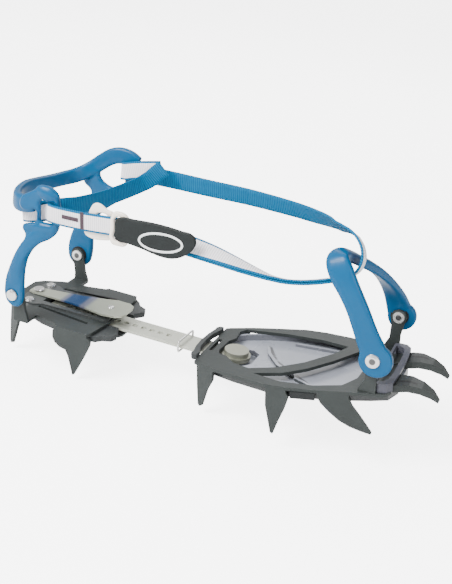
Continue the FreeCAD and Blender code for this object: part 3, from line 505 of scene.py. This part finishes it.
def ball(centre, radii, turn=0.0):
    """Stretched sphere as a bmesh, turned about Y by degrees."""
    bm = bmesh.new()
    bmesh.ops.create_icosphere(bm, subdivisions=4, radius=1.0)
    place = (Matrix.Translation(Vector(centre) * MM) @ Matrix.Rotation(math.radians(turn), 4, "Y")
             @ Matrix.Diagonal((*[r * MM for r in radii], 1)))
    bmesh.ops.transform(bm, matrix=place, verts=bm.verts)
    return bm


def disc(centre, radius, low, high):
    """Cylinder along Y between two depths, with softened rims."""
    rim = 0.5
    rings = []
    for depth, shrink in ((low, rim), (low + rim, 0), (high - rim, 0), (high, rim)):
        rings.append([(x, depth, z) for x, z in circle(centre, radius - shrink, 48)])
    return tube(rings)


# ------------------------------------------------------------------------------- harnesses
def panel_bar(bm, side, depth, swell, stations):
    """Add a bar along the outside of a panel through (x, z, width, thick) stations."""
    add_part(bm, sweep([(x, side * (depth + swell * t), z, w, t, 0, side, 0) for x, z, w, t in stations]))


def heel_harness():
    """Moulded heel harness: side panels with strap windows, lobes and an arch behind the heel."""
    bm = bmesh.new()
    near = [(-5.4, 15.0), (-3.2, 11.0), (1.0, 9.2), (5.2, 10.8), (7.0, 15.5), (7.0, 26.0), (7.6, 37.0),
            (10.2, 46.0), (15.8, 53.8), (24.0, 59.6), (28.2, 65.0), (29.4, 73.0), (28.8, 82.6), (26.4, 88.2),
            (21.4, 91.4), (15.4, 89.8), (9.0, 85.8), (3.6, 81.6), (3.0, 75.2), (9.0, 73.8), (12.8, 75.6),
            (13.0, 67.4), (8.6, 65.4), (4.8, 62.6), (6.8, 58.8), (5.2, 53.0), (0.8, 45.0), (-3.9, 33.3),
            (-6.0, 23.0)]
    far = [(-9.2, 18.0), (-7.2, 11.6), (0.0, 7.8), (7.0, 11.6), (9.0, 18.0), (9.2, 26.0), (8.8, 35.0),
           (10.6, 44.0), (15.4, 51.6), (22.4, 58.0), (29.4, 64.0), (33.0, 71.0), (34.0, 80.0), (34.0, 89.0),
           (24.0, 91.0), (13.0, 85.0), (6.0, 77.6), (-0.8, 73.6), (-0.6, 69.2), (5.4, 63.4), (3.6, 56.0),
           (0.2, 47.0), (-5.0, 37.0), (-8.4, 27.0)]
    near_window = [(16.4, 69.4), (20.6, 68.8), (25.0, 69.8), (25.6, 76.4), (25.0, 83.2), (20.8, 84.0),
                   (16.6, 82.0), (16.0, 75.4)]
    far_window = [(10.6, 76.9), (17.4, 70.2), (24.0, 70.4), (28.2, 72.0), (29.2, 80.0), (28.6, 87.0),
                  (22.6, 87.4), (16.0, 83.2)]
    hole = circle(HEEL_PIVOT, 2.9, 12)
    add_mesh(bm, stand(plate(near, [near_window, hole], PANEL_THICK, PANEL_RIM), -PANEL_Y))
    add_mesh(bm, stand(plate(far, [far_window, hole], PANEL_THICK, PANEL_RIM), PANEL_Y))
    for side in (-1, 1):
        spine = [(1.2, 24.0, 9.0, 3.2), (1.4, 33.0, 8.4, 4.4), (3.8, 42.0, 7.8, 5.0), (8.4, 51.0, 7.8, 5.0),
                 (14.2, 58.0, 8.4, 4.6), (19.6, 63.0, 8.6, 3.8)]
        panel_bar(bm, side, HEEL_WALL + 2.0, 0.25, spine)
    ledge = [(5.6, 62.8, 4.0, 4.0), (11.4, 64.2, 5.0, 4.6), (19.4, 64.8, 6.0, 5.2), (26.4, 66.0, 4.6, 4.4)]
    panel_bar(bm, -1, HEEL_WALL + 2.4, 0, ledge)
    post = [(4.0, 72.6, 9.0, 4.6), (9.4, 68.6, 9.6, 5.0), (13.4, 64.2, 9.4, 4.8), (14.0, 57.0, 8.4, 4.2)]
    panel_bar(bm, 1, HEEL_WALL + 2.4, 0, post)
    add_part(bm, ball((20.4, -PANEL_Y, 86.6), (8.2, 3.3, 4.8), 12))
    # Middle and far side: heights worked out from the photograph with the fitted camera.
    arch = [(11.0, -(HEEL_WALL + 1.9), 78.2, 9.5, 4.2), (6.0, -(HEEL_WALL + 1.2), 77.0, 10.5, 4.8),
            (0.4, -38.8, 76.2, 11.0, 5.2), (-4.8, -34.0, 75.8, 11.0, 5.2), (-8.4, -26.6, 76.2, 10.6, 5.0),
            (-10.4, -15.0, 76.4, 10.2, 4.8), (-11.0, 0.0, 74.8, 9.8, 4.8), (-10.4, 15.0, 73.2, 9.6, 4.8),
            (-8.4, 26.6, 72.8, 9.6, 5.0), (-4.6, 34.0, 73.6, 9.8, 5.2), (0.8, 38.8, 76.4, 10.0, 5.2),
            (6.6, HEEL_WALL + 1.8, 80.8, 10.2, 5.0), (12.0, HEEL_WALL + 2.3, 85.4, 10.4, 5.0),
            (18.0, HEEL_WALL + 2.4, 89.8, 10.8, 5.2), (24.0, HEEL_WALL + 2.5, 92.0, 10.8, 5.4),
            (31.4, HEEL_WALL + 2.4, 91.8, 10.4, 5.2), (38.0, HEEL_WALL + 2.2, 89.6, 8.4, 4.4)]
    add_part(bm, sweep([(x, y, z, w, t, min(x - 12.0, 0.0), y, 0.0) for x, y, z, w, t in arch]))
    obj = fused("heel_harness_moulding", bm, blue_plastic, 0.62, 4)
    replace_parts(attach(obj, "heel_harness"), "heel_harness")


def toe_harness():
    """Moulded toe bail: broad near leg, slim cross member over the toe and a far leg."""
    bm = bmesh.new()
    # The stations at x = 206.0 and 210.7 were worked out the same way as the arch above.
    stations = [
        (225.4, -TOE_WALL, 35.4, 16.2, 4.4, 0, -1, 0),
        (222.0, -TOE_WALL, 42.6, 14.8, 4.5, 0, -1, 0),
        (217.4, -TOE_WALL, 50.0, 13.6, 4.8, 0, -1, 0), (210.2, -34.3, 62.5, 12.6, 5.2, 0, -1, 0.05),
        (204.0, -33.8, 71.6, 12.8, 5.4, 0, -1, 0.1), (197.6, -32.0, 79.6, 14.2, 5.8, -0.1, -1, 0.25),
        (193.2, -28.4, 85.6, 13.2, 6.2, -0.4, -0.9, 0.8), (194.0, -21.6, 86.8, 10.4, 6.4, -0.1, -0.3, 1),
        (197.4, -14.4, 84.0, 8.6, 6.2, 0.3, 0.2, 1), (201.5, -8.0, 80.4, 8.2, 6.0, 0.4, 0.4, 1),
        (206.0, 0.0, 75.8, 8.4, 5.8, 0.4, 0.5, 1), (210.7, 10.0, 69.2, 9.6, 5.6, 0.4, 0.7, 0.9),
        (215.2, 20.0, 60.4, 11.6, 5.2, 0.3, 1, 0.6), (219.2, 28.6, 50.4, 13.6, 4.9, 0.1, 1, 0.35),
        (222.0, 33.4, 42.0, 15.0, 4.6, 0, 1, 0.05), (224.6, TOE_WALL, 35.4, 16.2, 4.4, 0, 1, 0),
    ]
    add_part(bm, sweep(stations, steps=8))
    for side, ahead, radius in ((-1, 1.4, 9.6), (1, 1.2, 8.8)):
        low, high = sorted((side * (TOE_WALL - TOE_BOSS_HALF), side * (TOE_WALL + TOE_BOSS_HALF)))
        add_part(bm, disc((TOE_PIVOT[0] + ahead, TOE_PIVOT[1] - 0.4), radius, low, high))
    obj = fused("toe_harness_moulding", bm, blue_plastic, 0.6, 4)
    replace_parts(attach(obj, "toe_harness"), "toe_harness")


# ----------------------------------------------------------------------------------- strap
# Corners of the tape's section as shares of its width and thickness.
TAPE_SECTION = [(-0.5, -0.34), (-0.47, -0.5), (-0.25, -0.52), (0.0, -0.53), (0.25, -0.52),
                (0.47, -0.5), (0.5, -0.34), (0.5, 0.34), (0.47, 0.5), (0.25, 0.52), (0.0, 0.53),
                (-0.25, 0.52), (-0.47, 0.5), (-0.5, 0.34)]


def tape(name, stations, width, thick, mat=webbing, steps=8, lift=0.0):
    """Tape through (x, y, z, lean) stations, its outer face marked and with tape coordinates."""
    path = smooth_path(stations, steps)
    last = len(path) - 1
    rings, lengths, run = [], [], 0.0
    for i, (x, y, z, lean) in enumerate(path):
        along = (Vector(path[min(i + 1, last)][:3]) - Vector(path[max(i - 1, 0)][:3])).normalized()
        wide = Vector((0, math.sin(math.radians(lean)), math.cos(math.radians(lean))))
        wide = (wide - along * wide.dot(along)).normalized()
        face = along.cross(wide)
        centre = Vector((x, y, z)) - face * lift
        if i:
            run += (Vector((x, y, z)) - Vector(path[i - 1][:3])).length
        lengths.append(run)
        rings.append([centre + wide * (u * width) + face * (v * thick) for u, v in TAPE_SECTION])
    count = len(TAPE_SECTION)
    verts = [tuple(p * MM) for ring in rings for p in ring]
    faces, coords, sides = [], [], []
    for i in range(last):
        for j in range(count):
            k = (j + 1) % count
            faces.append((i * count + j, i * count + k, (i + 1) * count + k, (i + 1) * count + j))
            u0, u1 = TAPE_SECTION[j][0] + 0.5, TAPE_SECTION[k][0] + 0.5
            coords += [(lengths[i], u0), (lengths[i], u1), (lengths[i + 1], u1), (lengths[i + 1], u0)]
            sides.append(1.0 if TAPE_SECTION[j][1] < 0 and TAPE_SECTION[k][1] < 0 else 0.0)
    for ring, row in ((0, range(count)), (last, reversed(range(count)))):
        faces.append(tuple(ring * count + j for j in row))
        coords += [(lengths[ring], 0.0)] * count
        sides.append(0.0)
    mesh = bpy.data.meshes.new(name)
    mesh.from_pydata(verts, [], faces)
    layer = mesh.uv_layers.new(name="tape")
    for loop, coord in zip(layer.data, coords):
        loop.uv = coord
    mark = mesh.attributes.new("white_side", "FLOAT", "FACE")
    for item, value in zip(mark.data, sides):
        item.value = value
    mesh.update()
    bm = bmesh.new()
    bm.from_mesh(mesh)
    bmesh.ops.recalc_face_normals(bm, faces=bm.faces)
    bm.to_mesh(mesh)
    bm.free()
    obj = new_object(name, mesh, mat)
    obj.modifiers.new("edges", "EDGE_SPLIT").split_angle = math.radians(50)
    return bake(obj)


# Stations (x, y, z, lean) along the strap. Many are places that a program worked out from the
# photograph with the fitted camera; some of those were then moved, and the rest drawn.
FAR_RUN = [(56.0, 37.4, 90.4, -3), (43.0, 37.5, 87.4, 0), (35.0, 37.6, 85.2, 0), (30.8, 38.1, 83.8, 0),
           (27.8, 39.6, 83.0, 0), (27.0, 41.8, 82.4, 0), (28.0, 44.0, 81.9, 0), (31.4, 45.4, 81.5, 0),
           (38.0, 46.0, 81.7, 0), (57.0, 45.8, 82.6, -4), (87.5, 45.0, 83.2, -9), (115.3, 43.2, 84.3, -14),
           (144.0, 36.4, 85.9, -22), (158.0, 30.0, 87.3, -30), (169.0, 21.0, 89.7, -42)]
TOE_LOOP = [(178.0, 10.5, 92.5, -52), (185.0, 0.5, 94.8, -59), (190.8, -6.8, 96.4, -63),
            (197.0, -13.6, 96.8, -65), (202.0, -17.6, 94.2, -67), (204.8, -19.6, 89.8, -69),
            (205.5, -20.6, 84.4, -71), (203.6, -21.2, 78.8, -73), (199.2, -21.9, 74.2, -76)]
NEAR_RUN = [(194.3, -24.0, 72.4, -75), (190.5, -26.4, 71.2, -74.5), (183.2, -30.0, 69.6, -73.5),
            (175.9, -34.0, 68.8, -72), (168.5, -38.0, 68.9, -70), (160.6, -40.8, 69.9, -71),
            (152.4, -42.4, 71.5, -80), (144.0, -43.4, 73.2, -92), (135.4, -44.0, 74.9, -104),
            (125.3, -44.4, 76.7, -119), (112.0, -44.8, 78.4, -138), (96.0, -45.4, 79.4, -161),
            (76.0, -46.0, 79.9, -180)]
TAIL_RUN = [(x, y, z, lean + 180) for x, y, z, lean in NEAR_RUN[1:12] + [(82.0, -45.9, 79.8, -178)]]
BUCKLE_LOOP = [(72.5, -47.9, 80.4, 0), (60.0, -47.9, 79.1, 0), (45.0, -47.2, 77.6, 0),
               (33.0, -46.6, 76.9, 0), (27.0, -45.7, 76.6, 0), (23.0, -44.0, 76.2, 0),
               (21.2, -41.7, 75.8, 0), (19.4, -39.2, 75.0, 0), (15.0, -37.6, 73.0, 0),
               (9.0, -36.9, 70.8, 0), (3.6, -35.8, 69.2, 0), (0.0, -34.4, 68.4, 0)]
CROSSING_RUN = [(0.0, -31.6, 68.4, 0), (3.4, -32.0, 69.4, 0), (10.0, -32.2, 71.6, 0),
                (15.5, -32.2, 73.8, 0), (24.0, -29.8, 76.2, 8), (29.5, -20.0, 76.0, 10),
                (34.0, 0.0, 75.2, 8), (39.2, 18.0, 76.6, 5), (45.3, 29.8, 79.8, 2),
                (50.4, 34.0, 83.8, 0), (54.4, 35.4, 88.2, 0), (58.2, 35.8, 92.2, 0)]
TACK_ALONG = [(33.6, -47.55, 77.6, 0), (44.4, -47.95, 78.0, 0)]
TACK_ACROSS = [(45.9, -48.1, 78.2, 0), (48.1, -48.2, 78.4, 0)]
STRAP_THICK = 1.4


def straps():
    """The one long tape, its doubled tail, the buckle loop, the crossing run and bar tacks."""
    main = tape("main_strap", FAR_RUN + TOE_LOOP + NEAR_RUN, 11.6, STRAP_THICK)
    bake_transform(main)
    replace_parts(main, "toe_strap", "far_strap_anchor")
    tail = tape("strap_tail_layer", TAIL_RUN, 11.4, 1.2, lift=1.5)
    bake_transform(tail)
    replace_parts(tail, "strap_tail")
    loop = tape("buckle_loop", BUCKLE_LOOP, 11.0, STRAP_THICK)
    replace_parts(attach(loop, "buckle_side_strap"), "buckle_strap")
    cross = tape("crossing_run", CROSSING_RUN, 11.0, STRAP_THICK)
    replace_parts(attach(cross, "buckle_side_strap"), "crossing_strap")
    for name, node, stations, width in (("bar_tack_along", "bar_tack_long", TACK_ALONG, 2.3),
                                        ("bar_tack_across", "bar_tack_cross", TACK_ACROSS, 10.2)):
        piece = tape(name, stations, width, 0.5, thread, steps=6)
        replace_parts(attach(piece, "buckle_side_strap"), node)


BUCKLE_Y = -45.4            # middle planes of the buckle, its ring, the tab and the oval on it
RING_Y = -50.1
TAB_Y = -52.35
OVAL_Y = -53.45
OVAL_CENTRE = (99.0, 79.6)
OVAL_HALF = (13.0, 5.2)
OVAL_SLOPE = 0.10


def closure():
    """Cam buckle frame and ring, rubber pull tab and its plain oval outline."""
    outer = [(47.6, 73.4), (48.2, 70.2), (52.0, 68.4), (59.6, 68.8), (66.0, 71.2), (67.2, 74.0), (66.6, 84.6),
             (65.2, 86.8), (61.0, 88.0), (56.4, 90.2), (53.2, 89.8), (50.8, 86.4), (49.2, 80.0)]
    inner = [(55.0, 74.8), (62.6, 75.2), (62.6, 83.6), (55.0, 83.6)]
    body = new_object("buckle_body", stand(plate(outer, [inner], 2.0, 0.9), BUCKLE_Y), ivory)
    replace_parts(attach(body, "buckle_side_strap"), "buckle_frame")
    outer = [(66.4, 73.4), (67.8, 70.6), (72.0, 69.9), (76.4, 70.8), (78.0, 74.0), (78.2, 80.0), (77.8, 86.0),
             (76.0, 89.0), (72.0, 90.2), (68.0, 89.4), (66.4, 86.4), (66.4, 80.0)]
    inner = [(69.4, 73.6), (74.6, 73.8), (75.0, 80.0), (74.6, 86.0), (69.4, 86.4), (69.2, 80.0)]
    ring = new_object("buckle_loop_ring", stand(plate(outer, [inner], 2.2, 1.0), RING_Y), ivory)
    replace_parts(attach(ring, "buckle_side_strap"), "buckle_ring")
    outline = [(70.6, 75.6), (72.0, 74.2), (79.0, 73.8), (87.0, 73.0), (94.6, 71.8), (102.0, 71.2),
               (108.6, 72.4), (114.6, 76.0), (118.4, 80.6), (119.4, 84.8), (117.4, 88.0), (110.0, 89.0),
               (96.0, 89.6), (82.0, 88.8), (72.2, 87.6), (70.6, 86.0), (70.4, 80.0)]
    tab = new_object("pull_tab_rubber", stand(plate(outline, [], 2.3, 0.8), TAB_Y), rubber)
    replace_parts(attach(tab, "pull_tab"), "pull_tab")
    path = []
    for u, v in circle((0.0, 0.0), 1.0, 48):
        across = OVAL_HALF[0] * u
        up = OVAL_HALF[1] * v + OVAL_SLOPE * across
        path.append((OVAL_CENTRE[0] + across, OVAL_Y, OVAL_CENTRE[1] + up, 1.3, 0.5, 0, -1, 0))
    oval = new_object("tab_oval", mesh_of("tab_oval", sweep(path, steps=1, closed=True)), white_mark)
    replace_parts(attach(oval, "pull_tab"), "tab_emblem")


# ------------------------------------------------------------------------ adjuster details
KEEPER_X = 100.0
KEEPER_SKEW = 0.05          # forward lean of the wire across its width
KEEPER_WIRE = 1.3


def keeper():
    """Bent-wire keeper round the link bar."""
    corners = [(-9.2, -7.2), (0.0, -7.5), (9.2, -7.2), (10.3, -5.6), (10.5, -3.4), (10.1, -1.2), (8.8, -0.2),
               (0.0, 0.0), (-8.8, -0.2), (-10.1, -1.2), (-10.5, -3.4), (-10.3, -5.6)]
    loop = [(KEEPER_X + KEEPER_SKEW * y, y, z) for y, z in corners + corners[:1]]
    path = [(*place, KEEPER_WIRE, KEEPER_WIRE, 1, 0, 0) for place in smooth_path(loop, 5)[:-1]]
    shape = sweep(path, steps=1, power=1.0, closed=True)
    wire = new_object("keeper_wire", mesh_of("keeper_wire", shape), bright_steel)
    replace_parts(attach(wire, "keeper_ring"), "bar_keeper_ring")


# -------------------------------------------------------------------- carried-over pieces
# Material of each node kept from the CAD, and how far its edges are rounded.
NODE_LOOKS = {
    "heel_frame": (steel, 0.35), "front_frame": (steel, 0.35), "heel_bar_guide": (guide_metal, 0.25),
    "link_bar": (bar_steel, 0.2), "adjuster_leaf": (leaf_steel, 0.3), "locking_stud": (screw_steel, 0.15),
    "guide_screw_near": (screw_steel, 0.2), "guide_screw_far": (screw_steel, 0.2),
    "leaf_pivot_rivet": (screw_steel, 0.2),
    "heel_rivet_near": (bright_steel, 0.25), "heel_rivet_far": (heel_eyelet, 0.25),
    "toe_rivet_near": (toe_eyelet, 0.25), "toe_rivet_far": (toe_eyelet, 0.25),
    "heel_washer_near": (black_plastic, 0.0), "heel_washer_far": (black_plastic, 0.0),
    "toe_washer_near": (black_plastic, 0.0), "toe_washer_far": (black_plastic, 0.0),
    "heel_antiball_plate": (lug_plastic, 0.7), "antiball_rear_band": (lug_plastic, 0.6),
    "antiball_clip_near": (black_plastic, 0.5), "antiball_clip_far": (black_plastic, 0.5),
    "front_antiball_plate": (film, 0.4), "antiball_toe_rail": (rail_plastic, 0.8),
}


def dress_nodes():
    """Materials and softened edges for the steel and plastic pieces kept from the CAD."""
    for name, (look, edge) in NODE_LOOKS.items():
        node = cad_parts[name]
        node.data.materials.clear()
        node.data.materials.append(look)
        if edge > 0:
            soft = node.modifiers.new("soft_edges", "BEVEL")
            soft.width = edge * MM
            soft.segments = 2
            soft.limit_method = "ANGLE"
            soft.angle_limit = math.radians(40)
            soft.harden_normals = True


# ------------------------------------------------------------------------- light and floor
LAMP_TARGET = Vector((0.11, 0, 0.03))
FLOOR_PLACE = (0.1, 0.1, -0.0336)
FLOOR_SIZE = 14
FLOOR_GLOW = 4.5                            # as the camera sees it
SKY_GLOW = 5.3                              # as the camera sees it
SKY_LIGHT = (1.05, 0.50)                    # on the object, from the left and from the right
LAMPS = (("key", (-0.55, -0.75, 1.0), 0.7, 46), ("fill", (0.9, -0.8, 0.6), 0.8, 9),
         ("back", (0.0, 1.0, 0.9), 0.9, 7))
# The camera as fitted to the photograph.
CAMERA_PLACE = Vector((0.29823, -0.52208, 0.27756))
CAMERA_YAW = 18.60
CAMERA_PITCH = 23.63
CAMERA_ROLL = 7.45
CAMERA_LENS = 60.92


def area_lamp(name, spot, size, power):
    """Soft lamp aimed at the middle of the object."""
    data = bpy.data.lights.new(name, "AREA")
    data.size = size
    data.energy = power
    lamp = bpy.data.objects.new(name, data)
    bpy.context.scene.collection.objects.link(lamp)
    lamp.location = spot
    lamp.rotation_euler = (LAMP_TARGET - Vector(spot)).to_track_quat("-Z", "Y").to_euler()


def ground():
    """Pale floor that the camera sees as white."""
    bpy.ops.mesh.primitive_plane_add(size=FLOOR_SIZE, location=FLOOR_PLACE)
    floor = bpy.context.object
    floor.name = "studio_floor"
    look = material("studio_ground", (0.90, 0.90, 0.90), 0.9, Emission_Color=(1, 1, 1, 1))
    grain(look, 3, 0.004, 0.0)
    rays = add(look, "ShaderNodeLightPath")
    glow = calc(look, "MULTIPLY", rays.outputs["Is Camera Ray"], FLOOR_GLOW)
    link(look, glow, shader_of(look).inputs["Emission Strength"])
    floor.data.materials.append(look)


def sky():
    """White surroundings, which light the object more from the left."""
    world = bpy.data.worlds.new("studio_world")
    bpy.context.scene.world = world
    world.use_nodes = True
    across = axes(world, add(world, "ShaderNodeTexCoord").outputs["Generated"])[0]
    span = remap(world, across, (-0.9, 0.9), SKY_LIGHT)
    rays = add(world, "ShaderNodeLightPath")
    seen = add(world, "ShaderNodeMix")
    seen.inputs[3].default_value = SKY_GLOW
    link(world, rays.outputs["Is Camera Ray"], seen.inputs[0])
    link(world, span.outputs["Result"], seen.inputs[2])
    background = world.node_tree.nodes["Background"]
    link(world, seen.outputs[0], background.inputs["Strength"])
    background.inputs["Color"].default_value = (1, 1, 1, 1)


def camera():
    """The photograph's view, aimed by yaw, pitch and roll."""
    yaw, pitch, roll = math.radians(CAMERA_YAW), math.radians(CAMERA_PITCH), math.radians(CAMERA_ROLL)
    ahead = Vector((-math.sin(yaw) * math.cos(pitch), math.cos(yaw) * math.cos(pitch), -math.sin(pitch)))
    right = ahead.cross(Vector((0, 0, 1))).normalized()
    up = right.cross(ahead)
    side = right * math.cos(roll) + up * math.sin(roll)
    top = up * math.cos(roll) - right * math.sin(roll)
    lens = bpy.data.cameras.new("camera")
    lens.lens = CAMERA_LENS
    lens.sensor_width = 36
    lens.clip_start = 0.01
    view = bpy.data.objects.new("camera", lens)
    bpy.context.scene.collection.objects.link(view)
    turn = Matrix((side, top, -ahead)).transposed().to_4x4()
    view.matrix_world = Matrix.Translation(CAMERA_PLACE) @ turn
    bpy.context.scene.camera = view


dress_nodes()
heel_harness()
toe_harness()
straps()
closure()
keeper()
ground()
sky()
for lamp in LAMPS:
    area_lamp(*lamp)
camera()
